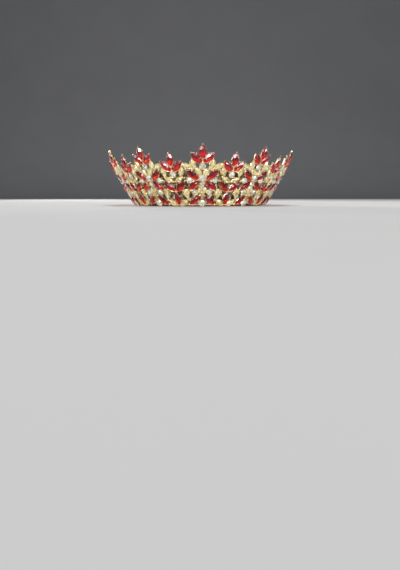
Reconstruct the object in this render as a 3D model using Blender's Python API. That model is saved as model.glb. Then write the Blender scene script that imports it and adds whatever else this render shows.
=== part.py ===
import bpy
import numpy as np

# A closed bridal crown of set stones. Metres, +Z up, the front faces -Y.

# Driving sizes
HALF_WIDTH = 0.078      # foot oval, left to right
HALF_DEPTH = 0.090      # foot oval, front to back
WALL = 0.0755           # height of a tall motif along the leaning wall
LEAN = 33.3             # degrees from upright at the foot
EASE = 0.077            # how far the lean eases toward the top, as a share of WALL
MOTIFS = 11             # tall motifs, with a short one after each

RED_CROWN = 0.0024      # height of a red stone above its girdle
RED_BACK = 0.0019       # depth of its cup behind the girdle
PALE_CROWN = 0.0018
PALE_BACK = 0.0016
ROUND_CROWN = 0.0019
ROUND_BACK = 0.0017
GAP = 0.0003            # between a loose stone and its seat
SEAT = 0.0012           # thickness of a seat
WIRE = 0.0026           # base wire, both ways
RIB = 0.0016            # width of the rib behind a motif's axis
RIB_TOP = -0.0007       # its front and back, from the girdle plane
RIB_BACK = -0.0022
KEEP = 0.64             # share of the union's triangles that is kept

# Chart of one tall motif. Across: share of the step between two motifs, from the motif's own axis.
# Up: share of WALL. Wide: share of the stone's own length. A row with a side is mirrored.
#        name        cut       across  up      to across  up     wide   mirrored
TALL = (
    ("arm",     "red",    0.336, 0.850, -0.012, 0.690,  0.49, True),
    ("ear",     "pale",   0.334, 0.757,  0.300, 0.575,  0.49, True),
    ("wing",    "pale",   0.665, 0.670,  0.340, 0.600,  0.49, True),
    ("collar",  "round",  0.000, 0.648,  0.000, 0.000,  0.090, False),
    ("fork",    "pale",   0.245, 0.632,  0.008, 0.505,  0.46, True),
    ("eye",     "round",  0.000, 0.470,  0.000, 0.000,  0.096, False),
    ("cross_up", "red",   0.530, 0.594,  0.085, 0.424,  0.47, True),
    ("cross_low", "red",  0.065, 0.440,  0.548, 0.262,  0.46, True),
    ("pear",    "pear",   0.615, 0.286,  0.550, 0.098,  0.50, True),
    ("foot",    "red",    0.105, 0.188,  0.540, 0.020,  0.47, True),
    ("leaf",    "pale",   0.565, 0.122,  0.925, 0.012,  0.48, True),
)
SHORT = (
    ("arm",     "red",    0.355, 0.735, -0.012, 0.560,  0.48, True),
    ("round",   "round",  0.000, 0.519,  0.000, 0.000,  0.090, False),
    ("u_up",    "pale",   0.352, 0.672,  0.282, 0.465,  0.45, True),
    ("u_low",   "pale",   0.352, 0.484, -0.020, 0.402,  0.48, True),
    ("v",       "red",    0.390, 0.420,  0.014, 0.238,  0.46, True),
    ("upright", "red",    0.000, 0.262,  0.000, 0.016,  0.46, False),
)
# The upright crest navette of each motif and the drop round, which are loose solids over a seat
CREST_TALL = (0.777, 1.000)
CREST_SHORT = (0.666, 0.878)
CREST_WIDE = 0.49
DROP_UP = 0.061
DROP_WIDE = 0.104
# Ribs: a plain bar behind each motif's axis, from and to as shares of WALL
RIB_TALL = (0.030, 0.800)
RIB_SHORT = (0.410, 0.690)


# The wall as a surface
def oval_table():
    turn = np.linspace(0, 2 * np.pi, 1441)
    x = HALF_WIDTH * np.sin(turn)
    y = -HALF_DEPTH * np.cos(turn)
    run = np.concatenate([[0.0], np.cumsum(np.hypot(np.diff(x), np.diff(y)))])
    return turn, run


TURN, RUN = oval_table()
STEP = RUN[-1] / (2 * MOTIFS)


def foot_point(steps):
    turn = np.interp((steps * STEP) % RUN[-1], RUN, TURN)
    point = np.array([HALF_WIDTH * np.sin(turn), -HALF_DEPTH * np.cos(turn), 0.0])
    out = np.array([HALF_DEPTH * np.sin(turn), -HALF_WIDTH * np.cos(turn), 0.0])
    return point, out / np.linalg.norm(out)


def wall_point(steps, up, off=0.0):
    foot, out = foot_point(steps)
    lean = np.radians(LEAN)
    reach = WALL * (up * np.sin(lean) - EASE * up * up)
    point = foot + out * reach + np.array([0.0, 0.0, WALL * up * np.cos(lean)])
    return point + wall_normal(steps, up) * off


def wall_normal(steps, up):
    out = foot_point(steps)[1]
    lean = np.radians(LEAN)
    slope = out * (np.sin(lean) - 2 * EASE * up) + np.array([0.0, 0.0, np.cos(lean)])
    across = np.cross(np.array([0.0, 0.0, 1.0]), out)
    normal = np.cross(across, slope)
    return normal / np.linalg.norm(normal)


# Outlines, as shares of half the length and half the width
NAVETTE = ((-1.0, 0.0), (-0.62, -0.70), (0.0, -1.0), (0.62, -0.70),
           (1.0, 0.0), (0.62, 0.70), (0.0, 1.0), (-0.62, 0.70))
LEAF = ((-1.0, 0.0), (-0.42, -0.94), (0.42, -0.94), (1.0, 0.0), (0.42, 0.94), (-0.42, 0.94))
PEAR = ((-1.0, 0.0), (-0.78, -0.66), (0.0, -0.97), (1.0, -0.06), (1.0, 0.06), (0.0, 0.97), (-0.78, 0.66))
TABLE = ((-0.52, 0.0), (0.0, -0.46), (0.52, 0.0), (0.0, 0.46))


def circle(count, share=1.0, turn=0.0):
    rows = []
    for index in range(count):
        angle = 2 * np.pi * index / count + turn
        rows.append((-share * np.cos(angle), -share * np.sin(angle)))
    return tuple(rows)


# Meshes as lists of points and faces
def strip(lower, upper, low_at, up_at):
    """Triangles between two rings of unlike counts, matched by angle."""
    def angle(row):
        return np.arctan2(row[1], row[0])
    n, m = len(lower), len(upper)
    faces = []
    i = j = 0
    a = np.unwrap([angle(row) for row in lower] + [angle(lower[0])])
    b = np.unwrap([angle(row) for row in upper] + [angle(upper[0])])
    b = b + 2 * np.pi * round((a[0] - b[0]) / (2 * np.pi))
    while i < n or j < m:
        step_lower = j >= m or (i < n and a[i + 1] + a[i] <= b[j + 1] + b[j])
        if step_lower:
            faces.append((low_at + i % n, low_at + (i + 1) % n, up_at + j % m))
            i += 1
        else:
            faces.append((low_at + i % n, up_at + (j + 1) % m, up_at + j % m))
            j += 1
    return faces


def fan(at, count, flip):
    faces = [(at, at + k, at + k + 1) for k in range(1, count - 1)]
    return [face[::-1] for face in faces] if flip else faces


def solid(centre, along, normal, half, wide, girdle, table, crown, low):
    """One stone with its cup: a flat back, a ring of facets and a table."""
    side = np.cross(normal, along)

    def place(row, lift):
        return centre + along * (row[0] * half) + side * (row[1] * wide) + normal * lift

    count = len(girdle)
    points = [place(row, low) for row in girdle] + [place(row, crown) for row in table]
    faces = strip(girdle, table, 0, count) + fan(count, len(table), False) + fan(0, count, True)
    return points, faces


def plate(centre, along, normal, half, wide, outline, top, bottom):
    """A flat seat of even thickness, slightly smaller behind."""
    side = np.cross(normal, along)
    count = len(outline)
    points = [centre + along * (r[0] * half) + side * (r[1] * wide) + normal * top for r in outline]
    points += [centre + along * (r[0] * half * 0.9) + side * (r[1] * wide * 0.9) + normal * bottom for r in outline]
    faces = fan(0, count, False) + fan(count, count, True)
    for k in range(count):
        n = (k + 1) % count
        faces += [(k, count + k, count + n), (k, count + n, n)]
    return points, faces


def bar(axis, low, high, width, top, bottom, cuts):
    """A plain bar up the wall on a motif's axis."""
    points, faces = [], []
    half = width / 2
    for k in range(cuts + 1):
        up = low + (high - low) * k / cuts
        point, normal = wall_point(axis, up), wall_normal(axis, up)
        across = np.cross(np.array([0.0, 0.0, 1.0]), foot_point(axis)[1])
        for s, lift in ((-half, bottom), (half, bottom), (half, top), (-half, top)):
            points.append(point + across * s + normal * lift)
    for k in range(cuts):
        for e in range(4):
            a, b = 4 * k + e, 4 * k + (e + 1) % 4
            faces += [(a, b + 4, b), (a, a + 4, b + 4)]
    end = 4 * cuts
    faces += [(0, 1, 2), (0, 2, 3), (end, end + 2, end + 1), (end, end + 3, end + 2)]
    return points, faces


def frame_of(steps_a, up_a, steps_b, up_b):
    a, b = wall_point(steps_a, up_a), wall_point(steps_b, up_b)
    along = (b - a) / np.linalg.norm(b - a)
    normal = wall_normal((steps_a + steps_b) / 2, (up_a + up_b) / 2)
    normal = normal - along * np.dot(normal, along)
    return (a + b) / 2, along, normal / np.linalg.norm(normal), np.linalg.norm(b - a) / 2


def stone(axis, row, mirror):
    name, cut, across, up, to_across, to_up, wide, _ = row
    if cut == "round":
        steps = axis + mirror * across
        along = np.cross(np.array([0.0, 0.0, 1.0]), foot_point(steps)[1])
        half = wide * WALL / 2
        return solid(wall_point(steps, up), along, wall_normal(steps, up), half, half,
                     circle(8, turn=np.pi / 8), circle(4, 0.5), ROUND_CROWN, -ROUND_BACK)
    centre, along, normal, half = frame_of(axis + mirror * across, up, axis + mirror * to_across, to_up)
    wide = wide * half
    if cut == "red":
        return solid(centre, along, normal, half, wide, NAVETTE, TABLE, RED_CROWN, -RED_BACK)
    outline = LEAF if cut == "pale" else PEAR
    return solid(centre, along, normal, half, wide, outline, TABLE, PALE_CROWN, -PALE_BACK)


def motif_solids(axis, rows):
    parts = []
    for row in rows:
        for mirror in ((1, -1) if row[7] else (1,)):
            parts.append(stone(axis, row, mirror))
    return parts


def crest_frame(axis, crest):
    return frame_of(axis, crest[1], axis, crest[0])


def seats(axis, crest, drop):
    centre, along, normal, half = crest_frame(axis, crest)
    top = -GAP
    parts = [plate(centre, along, normal, half, half * CREST_WIDE, LEAF, top, top - SEAT)]
    if drop:
        centre, along, normal, half = drop_frame(axis)
        parts.append(plate(centre, along, normal, half, half, circle(6), top, top - SEAT))
    return parts


def drop_frame(axis):
    along = np.cross(np.array([0.0, 0.0, 1.0]), foot_point(axis)[1])
    return wall_point(axis, DROP_UP), along, wall_normal(axis, DROP_UP), DROP_WIDE * WALL / 2


def base_wire():
    """An oval wire with a flat underside behind the feet."""
    points, faces = [], []
    count = 4 * MOTIFS
    for k in range(count):
        foot, out = foot_point((k + 0.37) / 2)
        for inward, z in ((WIRE, 0.0), (0.0, 0.0), (0.0, WIRE), (WIRE, WIRE)):
            points.append(foot - out * (inward + 0.0002) + np.array([0.0, 0.0, z]))
    for k in range(count):
        n = (k + 1) % count
        for e in range(4):
            a, b = 4 * k + e, 4 * k + (e + 1) % 4
            c, d = 4 * n + e, 4 * n + (e + 1) % 4
            faces += [(a, d, b), (a, c, d)]
    return points, faces


# Blender objects
def material(name, colour, metallic, roughness, alpha=1.0):
    mat = bpy.data.materials.new(name)
    mat.use_nodes = True
    shader = mat.node_tree.nodes["Principled BSDF"]
    shader.inputs["Base Color"].default_value = (*colour, 1.0)
    shader.inputs["Metallic"].default_value = metallic
    shader.inputs["Roughness"].default_value = roughness
    mat.diffuse_color = (*colour, alpha)
    return mat


def make_object(name, parts, mat):
    points, faces = [], []
    for part_points, part_faces in parts:
        at = len(points)
        points += [tuple(point) for point in part_points]
        faces += [tuple(at + index for index in face) for face in part_faces]
    mesh = bpy.data.meshes.new(name)
    mesh.from_pydata(points, [], faces)
    mesh.update()
    mesh.materials.append(mat)
    obj = bpy.data.objects.new(name, mesh)
    bpy.context.scene.collection.objects.link(obj)
    return obj


def evaluated_mesh(obj):
    graph = bpy.context.evaluated_depsgraph_get()
    mesh = bpy.data.meshes.new_from_object(obj.evaluated_get(graph))
    obj.modifiers.clear()
    obj.data = mesh


def fuse(obj, cutter):
    cutter.hide_render = True
    cutter.display_type = "WIRE"
    mod = obj.modifiers.new("fuse", "BOOLEAN")
    mod.operation = "UNION"
    mod.solver = "EXACT"
    mod.use_self = True
    mod.object = cutter
    evaluated_mesh(obj)
    bpy.data.objects.remove(cutter)
    # The union leaves needless slivers on flat facets, which this collapses
    obj.modifiers.new("triangles", "TRIANGULATE")
    thin = obj.modifiers.new("thin", "DECIMATE")
    thin.ratio = KEEP
    evaluated_mesh(obj)


def centre_on_origin():
    """The tall front motif reaches further than the short back one, so the middle is found from the whole."""
    meshes = [obj.data for obj in bpy.data.objects]
    points = np.array([tuple(vertex.co) for mesh in meshes for vertex in mesh.vertices])
    middle = (points.min(axis=0) + points.max(axis=0)) / 2
    for mesh in meshes:
        for vertex in mesh.vertices:
            vertex.co.x -= middle[0]
            vertex.co.y -= middle[1]
        mesh.update()


def build():
    for obj in list(bpy.data.objects):
        bpy.data.objects.remove(obj)
    gold = material("gold", (0.72, 0.50, 0.22), 1.0, 0.3)
    parts = []
    for index in range(MOTIFS):
        tall, short = 2 * index, 2 * index + 1
        parts += motif_solids(tall, TALL) + motif_solids(short, SHORT)
        parts += seats(tall, CREST_TALL, True) + seats(short, CREST_SHORT, False)
        parts.append(bar(tall, *RIB_TALL, RIB, RIB_TOP, RIB_BACK, 2))
        parts.append(bar(short, *RIB_SHORT, RIB, RIB_TOP, RIB_BACK, 1))
    wall = make_object("crown_wall", parts, gold)
    wire = make_object("wire", [base_wire()], gold)
    fuse(wall, wire)

    for index in range(MOTIFS):
        for kind, axis, crest in (("tall", 2 * index, CREST_TALL), ("short", 2 * index + 1, CREST_SHORT)):
            centre, along, normal, half = crest_frame(axis, crest)
            red = material("red_%s_%02d" % (kind, index + 1), (0.45, 0.01, 0.03), 0.0, 0.05, 0.6)
            made = solid(centre, along, normal, half, half * CREST_WIDE, NAVETTE, TABLE, RED_CROWN, 0.0)
            make_object("crest_%s_%02d" % (kind, index + 1), [made], red)
        centre, along, normal, half = drop_frame(2 * index)
        clear = material("clear_%02d" % (index + 1), (0.85, 0.88, 0.80), 0.0, 0.05, 0.5)
        made = solid(centre, along, normal, half, half, circle(8, turn=np.pi / 8), circle(4, 0.5),
                     ROUND_CROWN, 0.0)
        make_object("drop_%02d" % (index + 1), [made], clear)
    centre_on_origin()


build()
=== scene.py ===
import math

import bpy
import numpy as np
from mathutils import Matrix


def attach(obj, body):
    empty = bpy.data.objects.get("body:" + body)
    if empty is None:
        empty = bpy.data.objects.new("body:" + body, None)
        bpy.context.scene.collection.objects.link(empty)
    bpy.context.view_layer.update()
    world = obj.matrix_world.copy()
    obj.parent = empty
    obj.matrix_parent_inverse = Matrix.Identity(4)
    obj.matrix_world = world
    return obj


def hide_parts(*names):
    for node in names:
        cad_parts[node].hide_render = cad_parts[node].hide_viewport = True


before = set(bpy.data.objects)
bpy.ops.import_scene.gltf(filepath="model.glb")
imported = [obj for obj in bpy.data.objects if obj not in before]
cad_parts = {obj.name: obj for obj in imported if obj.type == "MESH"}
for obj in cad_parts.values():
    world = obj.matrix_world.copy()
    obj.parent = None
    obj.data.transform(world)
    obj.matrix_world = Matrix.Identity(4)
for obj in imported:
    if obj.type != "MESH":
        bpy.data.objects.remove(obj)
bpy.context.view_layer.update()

# The wall, as the solids have it
HALF_WIDTH = 0.078
HALF_DEPTH = 0.090
WALL = 0.0755
LEAN = math.radians(33.3)
EASE = 0.077
MOTIFS = 11
BACK_SHIFT = 0.00185        # the foot oval's middle stands this far behind the origin
OVAL_POINTS = 1441          # of the table that measures along the foot oval
UP = np.array([0.0, 0.0, 1.0])
FLOOR_GAP = 0.00005         # no point of the crown lies lower

# Charts. Across: share of the step between two motifs, from the motif's own axis. Up: share of WALL.
# Wide: share of the stone's own length, or of WALL for a round, which has no second end.
#        name        cut       across  up      to across  up     wide   mirrored
TALL = (
    ("arm",     "red",    0.340, 0.862,  0.012, 0.694,  0.54, True),
    ("ear",     "pale",   0.326, 0.765,  0.286, 0.590,  0.52, True),
    ("wing",    "pale",   0.662, 0.700,  0.345, 0.612,  0.50, True),
    ("collar",  "round",  0.000, 0.648,  0.000, 0.000,  0.094, False),
    ("fork",    "pale",   0.240, 0.634,  0.018, 0.508,  0.58, True),
    ("eye",     "round",  0.000, 0.470,  0.000, 0.000,  0.108, False),
    ("cross_up", "red",   0.530, 0.594,  0.112, 0.432,  0.48, True),
    ("side",    "round",  0.428, 0.433,  0.000, 0.000,  0.089, True),
    ("cross_low", "red",  0.104, 0.430,  0.536, 0.268,  0.48, True),
    ("bead",    "round",  0.000, 0.377,  0.000, 0.000,  0.072, False),
    ("bead_low", "round", 0.000, 0.312,  0.000, 0.000,  0.060, False),
    ("petal",   "pear",   0.104, 0.316,  0.020, 0.168,  0.42, True),
    ("low",     "round",  0.280, 0.240,  0.000, 0.000,  0.089, True),
    ("pear",    "pear",   0.640, 0.290,  0.545, 0.104,  0.56, True),
    ("foot",    "red",    0.108, 0.188,  0.540, 0.026,  0.47, True),
    ("leaf",    "pale",   0.575, 0.118,  0.925, 0.014,  0.55, True),
)
SHORT = (
    ("arm",     "red",    0.352, 0.742,  0.014, 0.566,  0.53, True),
    ("round",   "round",  0.000, 0.519,  0.000, 0.000,  0.095, False),
    ("u_up",    "pale",   0.348, 0.655,  0.272, 0.475,  0.47, True),
    ("u_low",   "pale",   0.340, 0.478,  0.012, 0.404,  0.49, True),
    ("v",       "red",    0.390, 0.420,  0.022, 0.244,  0.48, True),
    ("upright", "red",    0.000, 0.240,  0.000, 0.022,  0.49, False),
)
CREST_TALL = (0.744, 0.990)         # foot and tip
CREST_SHORT = (0.636, 0.872)
CREST_WIDE = 0.48
CREST_LIFTS = (-0.0005, 0.0009)     # a crest stone's tip lies back and its foot stands out over the arms
DROP_UP = 0.062
DROP_WIDE = 0.111

# Solder joints: across, up, radius as a share of WALL, mirrored
TALL_JOINTS = (
    (0.000, 0.706, 0.020, False), (0.345, 0.600, 0.017, True), (0.105, 0.440, 0.016, True),
    (0.000, 0.420, 0.014, False), (0.545, 0.425, 0.014, True), (0.600, 0.420, 0.011, True),
    (0.545, 0.276, 0.015, True), (0.000, 0.165, 0.016, False), (0.548, 0.108, 0.016, True),
    (0.150, 0.236, 0.016, True), (0.296, 0.190, 0.019, True), (0.215, 0.640, 0.012, True),
    (0.545, 0.606, 0.014, True), (0.062, 0.182, 0.016, True), (0.000, 0.746, 0.020, False),
    (0.540, 0.034, 0.015, True), (0.925, 0.022, 0.014, True),
)
SHORT_JOINTS = (
    (0.000, 0.580, 0.020, False), (0.000, 0.405, 0.017, False), (0.310, 0.478, 0.015, True),
    (0.000, 0.245, 0.018, False), (0.352, 0.665, 0.014, True), (0.000, 0.030, 0.014, False),
    (0.000, 0.636, 0.020, False),
)
JOINT_SIDES = 8
JOINT_RINGS = ((-0.0013, 0.55), (-0.0006, 0.95), (0.0001, 0.9), (0.0006, 0.5))      # height, share of the radius

# Heights from the girdle plane, in metres: cup back, rim, table
HEIGHTS = {
    "red": (-0.0017, 0.0004, 0.0022),
    "pale": (-0.0014, 0.0003, 0.0016),
    "pear": (-0.0014, 0.0003, 0.0016),
    "round": (-0.0015, 0.0003, 0.0018),
}
RIM = 0.00022               # width of the cup's rim around a stone
OVERLAP = 0.0001            # how far a stone lies under its rim, across and down
END_INSET = 1.6             # an inset counts for this much at a stone's two ends
LEAST_RING = 0.45           # the least share of the outline that a ring of the cup keeps

# Facets: kite and star rings as shares of the girdle, and the kite ring's share of the crown's height
KITE, STAR, KITE_RISE = 0.80, 0.54, 0.55
GIRDLE_RANK, SHOULDER_RANK, TABLE_RANK = 0, 1, 2

# Prongs of each long cut, in shares of half the length and half the width
PRONGS = {
    "red": ((-0.99, 0.0), (0.99, 0.0), (-0.42, 0.80), (-0.42, -0.80), (0.42, 0.80), (0.42, -0.80)),
    "pale": ((-0.98, 0.0), (0.98, 0.0), (0.0, 0.97), (0.0, -0.97)),
    "pear": ((-0.97, 0.0), (-0.2, 0.97), (-0.2, -0.97), (0.98, 0.0)),
}
ROUND_PRONGS, DROP_PRONGS = 4, 8
# Half width of a prong and its reach over the stone
ROUND_PRONG = (0.00042, 0.0009)
SIDE_PRONG = (0.00045, 0.0008)
FIRST_END_PRONG = (0.00045, 0.0009)
SECOND_END_PRONG = (0.00065, 0.0016)
# A prong's inner face lies further in and lower than its outer face, by shares of its thickness
PRONG_IN, PRONG_DOWN = 0.6, 0.8

# Stone colours, as linear values: painted light, painted shade and painted glints on each facet, standing in for
# the light the foil behind the facets throws back
RED_LIT = ((0.72, 0.002, 0.004), (0.64, 0.002, 0.006), (0.80, 0.014, 0.004), (0.52, 0.002, 0.006))
RED_MID = ((0.30, 0.003, 0.012), (0.24, 0.002, 0.010), (0.38, 0.006, 0.016))
RED_DARK = ((0.10, 0.002, 0.008), (0.16, 0.004, 0.014), (0.06, 0.001, 0.005))
RED_MAUVE = ((0.21, 0.008, 0.022), (0.15, 0.004, 0.014), (0.27, 0.020, 0.036))
# Painted sheen on the upper facets of crest and arm stones, then painted highlights
RED_TOP_SHEEN = ((0.36, 0.08, 0.12), (0.29, 0.04, 0.07), (0.44, 0.14, 0.19))
RED_GLINT = ((0.85, 0.60, 0.60), (0.62, 0.26, 0.29), (0.90, 0.75, 0.72))
# a painted orange glint, the fire of the glass
RED_FIRE_GLINT = (0.95, 0.26, 0.02)
RED_FOOT_GLINT = (0.95, 0.42, 0.28)      # a painted reflection: the light edge round the foot of a crest stone
# Facets of the other stones in painted light, middle tone and painted shade
PALE = (
    ((0.92, 0.82, 0.47), (0.88, 0.76, 0.38), (0.97, 0.93, 0.68)),
    ((0.74, 0.60, 0.28), (0.80, 0.67, 0.34), (0.66, 0.53, 0.24)),
    ((0.38, 0.30, 0.11), (0.50, 0.41, 0.17)),
)
CLEAR = (
    ((0.88, 0.89, 0.80), (0.95, 0.95, 0.90), (0.80, 0.82, 0.72)),
    ((0.60, 0.62, 0.53), (0.70, 0.71, 0.62)),
    ((0.30, 0.32, 0.27), (0.38, 0.40, 0.34), (0.20, 0.22, 0.19)),
)
GOLD_TINT = (0.92, 0.73, 0.40)
# gold in painted half-shade, for the cups' sides and the ribs
SIDE_SHADE_TINT = (0.55, 0.41, 0.19)
BACK_SHADE_TINT = (0.13, 0.092, 0.042)    # painted shade: gold darkened for the shade inside the crown, on backs that are also left dull
CUP_TINTS = (BACK_SHADE_TINT, SIDE_SHADE_TINT, GOLD_TINT, GOLD_TINT, GOLD_TINT)     # between the cup's rings, from the back up: painted shade, painted half-shade, then gold

# A red stone by its place: share of painted glints on its upper facets, painted sheen on its upper facets, a
# painted reflection round its foot
WALL_LOOK = (0.06, False, False)
ARM_LOOK = (0.30, True, False)
CREST_LOOK = (0.50, True, True)
TIP_FROM, TIP_GLINTS = 0.7, 0.25    # beyond this share of its length a stone has this share of its painted glints
FOOT_GLINT_FROM = 0.6                     # the painted reflection at the foot starts at this share of the length

# A facet's fall runs from -1 on a stone's upper side to 1 on its lower side; the lower facets get painted light
# and the upper ones painted shade.
# On a long stone the keel parts the halves, so the side across it counts most.
FALL_ALONG, FALL_ACROSS = 0.55, 0.95
FALL_REACH = 0.35                   # facets nearer to the middle than this fall less
LOWER_FALL, UPPER_FALL = 0.1, -0.25     # a red stone's lower facets fall more, its upper ones less
# Shares of a red stone's facets, in painted light, painted shade and painted glints
FIRE_GLINT_SHARE = 0.03                   # painted orange glints among the lower
LIT_TABLE, LIT_EDGE = 0.90, 0.74    # lit ones among the lower, of the table and outside it
MAUVE_TABLE = 0.60                  # mauve ones, in painted shade, among the rest of the table
MID_SIDE = 0.60                     # middle ones between the lower and the upper
TOP_SHARE = 0.75                    # ones in painted sheen among the upper, where a stone has it
DARK_SHARE = 0.55                   # dark ones, in painted shade, among the upper, plus half the share of glints
# Shares of the other stones' facets, counted up: middle and lit on the table, lit and middle outside it
LIT_SHARES_TABLE = (0.45, 0.80)
LIT_SHARES_EDGE = (0.52, 0.80)
LIT_FALL_SHIFT = 0.15                    # how far the fall moves the lit share

# Wires on the wall: from and to as shares of WALL, stations, height from the girdle plane, half width,
# half thickness, tint
STEM = (0.108, 0.250, 5, 0.0001, 0.0017, 0.0008, GOLD_TINT)     # the flat gold stem of the tulip, down to the drop
# The ribs lie behind the stones, in painted half-shade
RIB_TALL = (0.03, 0.80, 8, -0.0014, 0.0006, 0.0006, SIDE_SHADE_TINT)
RIB_SHORT = (0.41, 0.67, 8, -0.0014, 0.0006, 0.0006, SIDE_SHADE_TINT)
WIRE_SIDES = 8
BASE_HIGH, BASE_THICK = 0.0010, 0.0009      # half the base wire's height and thickness
BASE_STATIONS = 176


# The wall as a surface
def oval_table():
    turn = np.linspace(0, 2 * np.pi, OVAL_POINTS)
    x = HALF_WIDTH * np.sin(turn)
    y = -HALF_DEPTH * np.cos(turn)
    run = np.concatenate([[0.0], np.cumsum(np.hypot(np.diff(x), np.diff(y)))])
    return turn, run


TURN, RUN = oval_table()
STEP = RUN[-1] / (2 * MOTIFS)


def foot_point(steps):
    turn = np.interp((steps * STEP) % RUN[-1], RUN, TURN)
    point = np.array([HALF_WIDTH * np.sin(turn), -HALF_DEPTH * np.cos(turn) + BACK_SHIFT, 0.0])
    out = np.array([HALF_DEPTH * np.sin(turn), -HALF_WIDTH * np.cos(turn), 0.0])
    return point, out / np.linalg.norm(out)


def wall_point(steps, up):
    foot, out = foot_point(steps)
    reach = WALL * (up * np.sin(LEAN) - EASE * up * up)
    return foot + out * reach + UP * (WALL * up * np.cos(LEAN))


def wall_normal(steps, up):
    out = foot_point(steps)[1]
    slope = out * (np.sin(LEAN) - 2 * EASE * up) + UP * np.cos(LEAN)
    normal = np.cross(np.cross(UP, out), slope)
    return normal / np.linalg.norm(normal)


# A place is a centre, the stone's own axis, the normal, half the length and half the width
def round_frame(steps, up, wide):
    along = np.cross(UP, foot_point(steps)[1])
    return wall_point(steps, up), along, wall_normal(steps, up), wide * WALL / 2, wide * WALL / 2


def long_frame(steps_a, up_a, steps_b, up_b, wide, lift_a=0.0, lift_b=0.0):
    """The axis runs from the first end to the second. A lift moves an end out of the wall."""
    normal = wall_normal((steps_a + steps_b) / 2, (up_a + up_b) / 2)
    a = wall_point(steps_a, up_a) + normal * lift_a
    b = wall_point(steps_b, up_b) + normal * lift_b
    length = np.linalg.norm(b - a)
    along = (b - a) / length
    normal = normal - along * np.dot(normal, along)
    return (a + b) / 2, along, normal / np.linalg.norm(normal), length / 2, wide * length / 2


# Outlines in a stone's own plane, in metres, counted anticlockwise from the first end
NAVETTE_SIDES = 16
NAVETTE_CURVE = 1.95        # 2 makes a parabola of each side
NAVETTE_PULL = 0.14         # draws the points a little toward the middle
PEAR_HEAD = (34, 64, 90, 112)       # degrees round the head's circle, from the first end
PEAR_SIDE = ((0.30, 1.05), (0.58, 1.09), (0.82, 1.10))      # share of the way to the point, bulge
ROUND_SIDES = 12


def navette(half, wide):
    rows = []
    for k in range(NAVETTE_SIDES):
        turn = 2 * math.pi * k / NAVETTE_SIDES
        a = -math.cos(turn)
        a = a * (1 - NAVETTE_PULL + NAVETTE_PULL * abs(a))
        if k in (0, NAVETTE_SIDES // 2):
            b = 0.0
        else:
            b = math.copysign(1 - abs(a) ** NAVETTE_CURVE, -math.sin(turn))
        rows.append((a * half, b * wide))
    return np.array(rows)


def pear(half, wide):
    """Round at the first end, pointed at the second: a circle and two sides that run from it to the point."""
    middle = wide - half
    rows = [(-half, 0.0)]
    for degrees in PEAR_HEAD:
        turn = math.radians(degrees)
        rows.append((middle - wide * math.cos(turn), -wide * math.sin(turn)))
    a, b = rows[-1]
    for share, bulge in PEAR_SIDE:
        rows.append((a + (half - a) * share, b * (1 - share) * bulge))
    rows.append((half, 0.0))
    return np.array(rows + [(a, -b) for a, b in rows[-2:0:-1]])


def circle(half, wide, count=ROUND_SIDES):
    turn = 2 * np.pi * np.arange(count) / count
    return np.stack([-half * np.cos(turn), -wide * np.sin(turn)], axis=1)


OUTLINE = {"red": navette, "pale": navette, "pear": pear, "round": circle}


# A mesh that grows stone by stone. Every face keeps its material and its colour.
GOLD, STONE = 0, 1
CELLS = 7                   # colour cells a side on the bake map
CELL_REACH = 0.2            # how far a face reaches in its cell


class Build:
    def __init__(self):
        self.points, self.faces, self.slots, self.tints, self.smooth = [], [], [], [], []
        self.count = 0

    def add(self, points, faces, slot, tints, smooth=False):
        """tints is one colour for all faces, or a list with one for each."""
        self.points.append(np.asarray(points))
        self.faces += [tuple(self.count + i for i in face) for face in faces]
        self.slots += [slot] * len(faces)
        self.tints += tints if isinstance(tints, list) else [tints] * len(faces)
        self.smooth += [smooth] * len(faces)
        self.count += len(points)

    def object(self, name, materials):
        mesh = bpy.data.meshes.new(name)
        points = np.concatenate(self.points)
        points[:, 2] = np.maximum(points[:, 2], FLOOR_GAP)
        mesh.from_pydata(points.tolist(), [], self.faces)
        for material in materials:
            mesh.materials.append(material)
        mesh.polygons.foreach_set("material_index", self.slots)
        mesh.polygons.foreach_set("use_smooth", self.smooth)
        colour = mesh.color_attributes.new("tint", "FLOAT_COLOR", "CORNER")
        tints = np.array([(*tint, 1.0) for tint in self.tints])
        colour.data.foreach_set("color", np.repeat(tints, [len(face) for face in self.faces], axis=0).ravel())
        self.lay_out(mesh)
        mesh.update()
        piece = bpy.data.objects.new(name, mesh)
        bpy.context.scene.collection.objects.link(piece)
        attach(piece, "root")
        return piece

    def lay_out(self, mesh):
        """A map on which all faces of one colour share a cell, so that a baked image keeps facets crisp."""
        cells, rows = {}, []
        for face, slot, tint in zip(self.faces, self.slots, self.tints):
            cell = cells.setdefault((slot, tint), len(cells))
            middle = np.array([cell % CELLS + 0.5, cell // CELLS + 0.5])
            turn = 2 * math.pi * (np.arange(len(face)) + 0.5) / len(face)
            rows.append(middle + CELL_REACH * np.stack([np.cos(turn), np.sin(turn)], axis=1))
        layer = mesh.uv_layers.new(name="OFBake")
        layer.uv.foreach_set("vector", (np.concatenate(rows) / CELLS).ravel())


def ring_faces(a, b, count):
    return [(a + k, a + (k + 1) % count, b + (k + 1) % count, b + k) for k in range(count)]


def cap(first, count, flip=False):
    face = tuple(range(first, first + count))
    return face[::-1] if flip else face


def put(place, rows, lift):
    """Points given along and across a place, at a height over it."""
    centre, along, normal = place[:3]
    side = np.cross(normal, along)
    rows = np.asarray(rows)
    return centre + rows[:, :1] * along + rows[:, 1:2] * side + normal * lift


# Colours of facets
def pick(rng, table):
    return table[rng.integers(len(table))]


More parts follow.
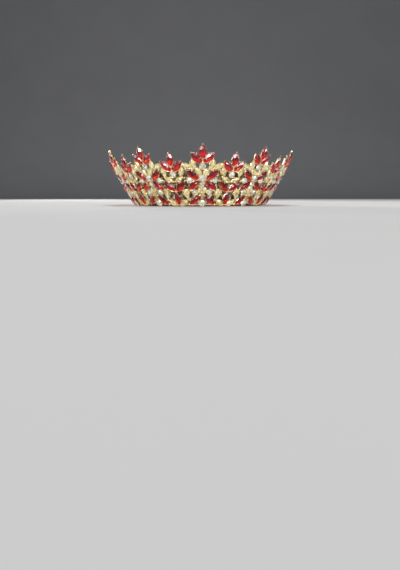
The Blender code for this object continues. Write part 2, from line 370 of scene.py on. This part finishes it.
# Painted light on a red facet: lit below, in painted shade above, with painted glints
def red_tint(fall, rank, rng, glints, sheen_on_top, glint_at_foot):
    chance = rng.random()
    if glint_at_foot and rank < TABLE_RANK:
        return RED_FOOT_GLINT
    if fall > LOWER_FALL:
        if chance < FIRE_GLINT_SHARE:
            return RED_FIRE_GLINT
        lit = LIT_TABLE if rank == TABLE_RANK else LIT_EDGE
        return pick(rng, RED_LIT if chance < lit else RED_MID)
    if rank == TABLE_RANK:
        return pick(rng, RED_MAUVE if chance < MAUVE_TABLE else RED_DARK)
    if fall > UPPER_FALL:
        return pick(rng, RED_MID if chance < MID_SIDE else RED_DARK)
    if chance < glints:
        return pick(rng, RED_GLINT)
    if sheen_on_top and chance < TOP_SHARE:
        return pick(rng, RED_TOP_SHEEN)
    return pick(rng, RED_DARK if chance < DARK_SHARE + glints / 2 else RED_MAUVE)


# Painted light on the other stones' facets: more painted light toward the lower side
def facet_light_tint(colours, fall, rank, rng):
    lit, middle, dark = colours
    chance = rng.random()
    if rank == TABLE_RANK:
        return pick(rng, middle if chance < LIT_SHARES_TABLE[0] else lit if chance < LIT_SHARES_TABLE[1] else dark)
    if chance < LIT_SHARES_EDGE[0] + LIT_FALL_SHIFT * fall:
        return pick(rng, lit)
    return pick(rng, middle if chance < LIT_SHARES_EDGE[1] else dark)


def add_stone(build, place, cut, rng, look):
    """Girdle, a ring of kite facets, a ring of star facets and a table cut by the keel below it."""
    centre, along, normal, half, wide = place
    glints, sheen_on_top, glint_at_foot = look
    _, rim, table = HEIGHTS[cut]
    inset = RIM - OVERLAP
    low = rim - OVERLAP
    girdle = OUTLINE[cut](half - inset * END_INSET, wide - inset)
    points = np.concatenate([
        put(place, girdle, low),
        put(place, girdle[1::2] * KITE, low + (table - low) * KITE_RISE),
        put(place, girdle[0::2] * STAR, table),
        put(place, [[0.0, 0.0]], table),
    ])
    count = len(girdle)
    n = count // 2
    kite, star, middle = count, count + n, count + 2 * n
    faces, ranks = [], []
    for i in range(n):
        j = (i + 1) % n
        a, b, c = 2 * i, 2 * i + 1, (2 * i + 2) % count
        faces += [(a, b, kite + i), (b, c, kite + i)]
        faces += [(c, kite + j, star + j, kite + i), (star + i, kite + i, star + j)]
        faces += [(star + i, star + j, middle)]
        ranks += [GIRDLE_RANK, GIRDLE_RANK, SHOULDER_RANK, SHOULDER_RANK, TABLE_RANK]
    # Which way a facet faces down sets its painted light or painted shade
    down = -UP + normal * normal[2]
    down = down / np.linalg.norm(down)
    across = np.cross(normal, along)
    tints = []
    for face, rank in zip(faces, ranks):
        arm = np.mean([points[i] for i in face], axis=0) - centre
        arm = arm - normal * np.dot(arm, normal)
        a = np.dot(arm, along) / half
        b = np.dot(arm, across) / wide
        fall = FALL_ALONG * a * np.dot(along, down) + FALL_ACROSS * b * np.dot(across, down)
        fall = fall / max(FALL_REACH, math.hypot(a, b))
        if cut == "red":
            share = glints if abs(a) < TIP_FROM else glints * TIP_GLINTS
            tints.append(red_tint(fall, rank, rng, share, sheen_on_top, glint_at_foot and a > FOOT_GLINT_FROM))
        else:
            tints.append(facet_light_tint(CLEAR if cut == "round" else PALE, fall, rank, rng))
    build.add(points, faces, STONE, tints)


def add_cup(build, place, cut):
    """A closed back, a flared wall and a thin rim that the stone sits in."""
    half, wide = place[3], place[4]
    back, rim, _ = HEIGHTS[cut]
    # Inset from the cup's outline, height
    rings = (
        (0.0016, back), (0.0005, back * 0.55), (0.0, rim * 0.6),
        (0.00008, rim + 0.0001), (RIM, rim), (RIM + 0.0002, rim - 0.0004),
    )
    points = []
    for inset, lift in rings:
        ring_half = max(half - inset * END_INSET, half * LEAST_RING)
        ring_wide = max(wide - inset, wide * LEAST_RING)
        points.append(put(place, OUTLINE[cut](ring_half, ring_wide), lift))
    count = len(points[0])
    faces, tints = [], []
    for k, tint in enumerate(CUP_TINTS):
        faces += ring_faces(k * count, (k + 1) * count, count)
        tints += [tint] * count
    faces.append(cap(0, count, flip=True))
    build.add(np.concatenate(points), faces, GOLD, tints + [BACK_SHADE_TINT])


def add_prong(build, place, cut, a, b, width, over):
    """A tab that rises outside the cup at (a, b) and folds over the stone's edge."""
    back, rim, _ = HEIGHTS[cut]
    base = np.array([a, b])
    inward = -base / np.linalg.norm(base)
    across = np.array([-inward[1], inward[0]])
    # Way inward, half width, height, thickness
    rows = (
        (-0.0001, width * 0.9, back * 0.5, 0.0004),
        (-0.0001, width, rim, 0.0005),
        (0.0003, width, rim + 0.00065, 0.0005),
        (over, width * 0.55, rim + 0.0008, 0.0003),
    )
    points = []
    for push, half_width, lift, thick in rows:
        outer = base + inward * push
        inner = outer + inward * thick * PRONG_IN
        for spot, height in ((outer, lift), (inner, lift - thick * PRONG_DOWN)):
            for side in (-1, 1):
                points.append(put(place, [spot + across * half_width * side], height)[0])
    faces = []
    for k in range(len(rows) - 1):
        m, n = 4 * k, 4 * (k + 1)
        faces += [(m, m + 1, n + 1, n), (m + 2, n + 2, n + 3, m + 3)]
        faces += [(m, n, n + 2, m + 2), (m + 1, m + 3, n + 3, n + 1)]
    end = 4 * (len(rows) - 1)
    faces += [(0, 2, 3, 1), (end, end + 1, end + 3, end + 2)]
    build.add(points, faces, GOLD, GOLD_TINT)


def add_prongs(build, place, cut, count):
    """count is read for a round alone, which has its prongs evenly round it."""
    half, wide = place[3], place[4]
    if cut == "round":
        for k in range(count):
            turn = 2 * math.pi * (k + 0.5) / count
            add_prong(build, place, cut, half * math.cos(turn), wide * math.sin(turn), *ROUND_PRONG)
        return
    for a, b in PRONGS[cut]:
        size = SIDE_PRONG if b else FIRST_END_PRONG if a < 0 else SECOND_END_PRONG
        add_prong(build, place, cut, a * half, b * wide, *size)


def add_set_stone(build, place, cut, rng, look=WALL_LOOK, prongs=ROUND_PRONGS):
    add_cup(build, place, cut)
    add_stone(build, place, cut, rng, look)
    add_prongs(build, place, cut, prongs)


def add_joint(build, steps, up, radius):
    """A lump of solder, flattened against the wall."""
    place = round_frame(steps, up, 2 * radius)
    points, faces = [], []
    for k, (lift, share) in enumerate(JOINT_RINGS):
        size = place[3] * share
        points.append(put(place, circle(size, size, JOINT_SIDES), lift))
        if k:
            faces += ring_faces((k - 1) * JOINT_SIDES, k * JOINT_SIDES, JOINT_SIDES)
    last = (len(JOINT_RINGS) - 1) * JOINT_SIDES
    faces += [cap(0, JOINT_SIDES, flip=True), cap(last, JOINT_SIDES)]
    build.add(np.concatenate(points), faces, GOLD, GOLD_TINT, True)


def add_motif(build, axis, rows, joints, rng):
    for name, cut, across, up, to_across, to_up, wide, mirrored in rows:
        look = ARM_LOOK if name == "arm" else WALL_LOOK
        for side in ((1, -1) if mirrored else (1,)):
            if cut == "round":
                place = round_frame(axis + side * across, up, wide)
            else:
                place = long_frame(axis + side * across, up, axis + side * to_across, to_up, wide)
            add_set_stone(build, place, cut, rng, look)
    for across, up, radius, mirrored in joints:
        for side in ((1, -1) if mirrored else (1,)):
            add_joint(build, axis + side * across, up, radius)


def add_tube(build, path, frames, wide, thick, tint, closed=False):
    """A rounded wire along points, with across and outward vectors at each."""
    points, faces = [], []
    turns = 2 * np.pi * (np.arange(WIRE_SIDES) + 0.5) / WIRE_SIDES
    for point, (across, out) in zip(path, frames):
        points += [point + across * wide * math.cos(t) + out * thick * math.sin(t) for t in turns]
    for k in range(len(path) if closed else len(path) - 1):
        a, b = k * WIRE_SIDES, ((k + 1) % len(path)) * WIRE_SIDES
        for i in range(WIRE_SIDES):
            j = (i + 1) % WIRE_SIDES
            faces.append((a + i, b + i, b + j, a + j))
    if not closed:
        faces += [cap(0, WIRE_SIDES), cap((len(path) - 1) * WIRE_SIDES, WIRE_SIDES, flip=True)]
    build.add(points, faces, GOLD, tint, True)


def add_wire(build, axis, low, high, stations, lift, wide, thick, tint):
    """A wire that runs up the wall on a motif's axis."""
    ups = np.linspace(low, high, stations)
    path = [wall_point(axis, up) + wall_normal(axis, up) * lift for up in ups]
    frames = [(np.cross(UP, foot_point(axis)[1]), wall_normal(axis, up)) for up in ups]
    add_tube(build, path, frames, wide, thick, tint)


def add_base_wire(build):
    """It stands on the floor, with its outer side on the foot oval."""
    path, frames = [], []
    for k in range(BASE_STATIONS):
        foot, out = foot_point(2 * MOTIFS * k / BASE_STATIONS)
        path.append(foot - out * BASE_THICK + UP * BASE_HIGH)
        frames.append((UP, -out))
    # The base wire takes the painted shade of the backs
    add_tube(build, path, frames, BASE_HIGH, BASE_THICK, BACK_SHADE_TINT, closed=True)


# Materials
NOISE_RANGE = (0.3, 0.7)    # the part of the noise that the drift spans


def shader(name, inputs):
    material = bpy.data.materials.new(name)
    material.use_nodes = True
    tree = material.node_tree
    principled = tree.nodes["Principled BSDF"]
    for socket, value in inputs.items():
        principled.inputs[socket].default_value = value
    return material, tree, principled


def drift(tree, scale, low, high):
    """A number that drifts from low to high over the surface."""
    coords = tree.nodes.new("ShaderNodeTexCoord")
    noise = tree.nodes.new("ShaderNodeTexNoise")
    noise.inputs["Scale"].default_value = scale
    tree.links.new(coords.outputs["Object"], noise.inputs["Vector"])
    node = tree.nodes.new("ShaderNodeMapRange")
    for socket, value in zip(("From Min", "From Max", "To Min", "To Max"), (*NOISE_RANGE, low, high)):
        node.inputs[socket].default_value = value
    tree.links.new(noise.outputs["Fac"], node.inputs["Value"])
    return node.outputs["Result"]


def tint_base(tree, principled, base, scale, low, high):
    """The base colour, times a fine drift in brightness."""
    mix = tree.nodes.new("ShaderNodeVectorMath")
    mix.operation = "SCALE"
    tree.links.new(base, mix.inputs[0])
    tree.links.new(drift(tree, scale, low, high), mix.inputs["Scale"])
    tree.links.new(mix.outputs["Vector"], principled.inputs["Base Color"])


def facet_colour(tree):
    tint = tree.nodes.new("ShaderNodeAttribute")
    tint.attribute_name = "tint"
    return tint.outputs["Color"]


def gold_material():
    material, tree, principled = shader("setting_gold", {"Metallic": 1.0})
    # The tint holds the gold and its painted shade on the backs, the cups' sides and the ribs
    tint_base(tree, principled, facet_colour(tree), scale=600.0, low=0.92, high=1.06)
    tree.links.new(drift(tree, scale=1500.0, low=0.24, high=0.40), principled.inputs["Roughness"])
    return material


def glass_material():
    material, tree, principled = shader("cut_glass", {
        "Metallic": 0.35, "Roughness": 0.12, "IOR": 1.55, "Coat Weight": 0.25, "Coat Roughness": 0.03,
    })
    # The tint holds each facet's painted light, painted shade and painted glints
    tint_base(tree, principled, facet_colour(tree), scale=900.0, low=0.93, high=1.07)
    return material


MATERIALS = [gold_material(), glass_material()]     # in the order of GOLD and STONE

# The wall: one soldered body
SEED = 7
wall = Build()
rng = np.random.default_rng(SEED)
for index in range(MOTIFS):
    add_motif(wall, 2 * index, TALL, TALL_JOINTS, rng)
    add_motif(wall, 2 * index + 1, SHORT, SHORT_JOINTS, rng)
    add_wire(wall, 2 * index, *STEM)
    add_wire(wall, 2 * index, *RIB_TALL)
    add_wire(wall, 2 * index + 1, *RIB_SHORT)
add_base_wire(wall)
piece = wall.object("crown_wall_set", MATERIALS)
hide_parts("crown_wall")

# The crest navettes and the drop rounds, each with its own cup
for index in range(MOTIFS):
    for kind, axis, (foot, tip) in (("tall", 2 * index, CREST_TALL), ("short", 2 * index + 1, CREST_SHORT)):
        build = Build()
        place = long_frame(axis, tip, axis, foot, CREST_WIDE, *CREST_LIFTS)
        add_set_stone(build, place, "red", rng, CREST_LOOK)
        name = "crest_%s_%02d" % (kind, index + 1)
        piece = build.object(name + "_set", MATERIALS)
        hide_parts(name)
    build = Build()
    add_set_stone(build, round_frame(2 * index, DROP_UP, DROP_WIDE), "round", rng, prongs=DROP_PRONGS)
    name = "drop_%02d" % (index + 1)
    piece = build.object(name + "_set", MATERIALS)
    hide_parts(name)


# Floor, light and camera
STAGE_HALF = 4.0            # half the width of the floor and the backdrop
FLOOR_FRONT, FLOOR_BACK = -3.0, 2.0
BEND = 0.6                  # radius of the bend between floor and backdrop
BEND_POINTS = 16
BACKDROP_TOP = 3.5
FLOOR_COLOUR = (0.82, 0.81, 0.80)
BACKDROP_COLOUR = (0.30, 0.30, 0.31)
# Name, place, target, size, power in watts, spread in degrees
LIGHTS = (
    ("back", (-0.60, 1.60, 0.40), (0.0, 0.08, 0.03), 0.50, 2.6, 70.0),
    ("key", (-0.84, -2.05, 0.30), (0.0, -0.08, 0.03), 0.80, 4.6, 70.0),
    ("fill", (1.24, -1.90, 0.34), (0.0, -0.08, 0.03), 0.90, 3.0, 70.0),
    ("top", (0.10, 0.40, 1.40), (0.0, 0.0, 0.03), 0.80, 9.0, 180.0),
)


def add_stage(name, rows, colour):
    """A sheet that runs along rows of (y, z)."""
    points = [(x, y, z) for y, z in rows for x in (-STAGE_HALF, STAGE_HALF)]
    faces = [(2 * k, 2 * k + 1, 2 * k + 3, 2 * k + 2) for k in range(len(rows) - 1)]
    mesh = bpy.data.meshes.new(name)
    mesh.from_pydata(points, [], faces)
    mesh.polygons.foreach_set("use_smooth", [True] * len(faces))
    sheet = bpy.data.objects.new(name, mesh)
    bpy.context.scene.collection.objects.link(sheet)
    material, tree, principled = shader(name, {"Roughness": 1.0, "Specular IOR Level": 0.0})
    base = tree.nodes.new("ShaderNodeRGB")
    base.outputs[0].default_value = (*colour, 1.0)
    tint_base(tree, principled, base.outputs[0], scale=6.0, low=0.98, high=1.02)
    mesh.materials.append(material)


def add_light(name, place, target, size, power, spread):
    data = bpy.data.lights.new(name, "AREA")
    data.shape = "DISK"
    data.size = size
    data.energy = power
    data.spread = math.radians(spread)
    lamp = bpy.data.objects.new(name, data)
    lamp.location = place
    x, y, z = np.array(target) - np.array(place)
    lamp.rotation_euler = (math.atan2(math.hypot(x, y), -z), 0.0, math.atan2(-x, y))
    bpy.context.scene.collection.objects.link(lamp)


turns = np.linspace(0, math.pi / 2, BEND_POINTS)
bend = [(FLOOR_BACK + BEND * math.sin(t), BEND - BEND * math.cos(t)) for t in turns]
add_stage("pale_floor", [(FLOOR_FRONT, 0.0), bend[0]], FLOOR_COLOUR)
add_stage("backdrop", bend + [(FLOOR_BACK + BEND, BACKDROP_TOP)], BACKDROP_COLOUR)
for row in LIGHTS:
    add_light(*row)

world = bpy.data.worlds.new("world")
world.use_nodes = True
background = world.node_tree.nodes["Background"]
background.inputs["Color"].default_value = (0.80, 0.82, 0.85, 1.0)
background.inputs["Strength"].default_value = 0.30
bpy.context.scene.world = world
bpy.context.scene.view_settings.view_transform = "Standard"

# Camera: the photo looks up at the crown, which a floor doesn't allow, so it stands as low as it can
# and looks level, and RISE_PX moves the crown up in the frame
PHOTO_HIGH = 570.0          # pixels
SENSOR = 36.0               # millimetres
DISTANCE = 0.598
FOCAL_PX = 482.0
HEIGHT = 0.010
YAW = math.radians(1.3)
RISE_PX = 88.0
camera = bpy.data.cameras.new("camera")
camera.sensor_width = SENSOR
camera.lens = FOCAL_PX * SENSOR / PHOTO_HIGH
camera.shift_y = -RISE_PX / PHOTO_HIGH
camera.clip_start = 0.01
camera.clip_end = 20.0
eye = bpy.data.objects.new("camera", camera)
eye.location = (-DISTANCE * math.sin(YAW), BACK_SHIFT - DISTANCE * math.cos(YAW), HEIGHT)
eye.rotation_euler = (math.pi / 2, 0.0, -YAW)
bpy.context.scene.collection.objects.link(eye)
bpy.context.scene.camera = eye
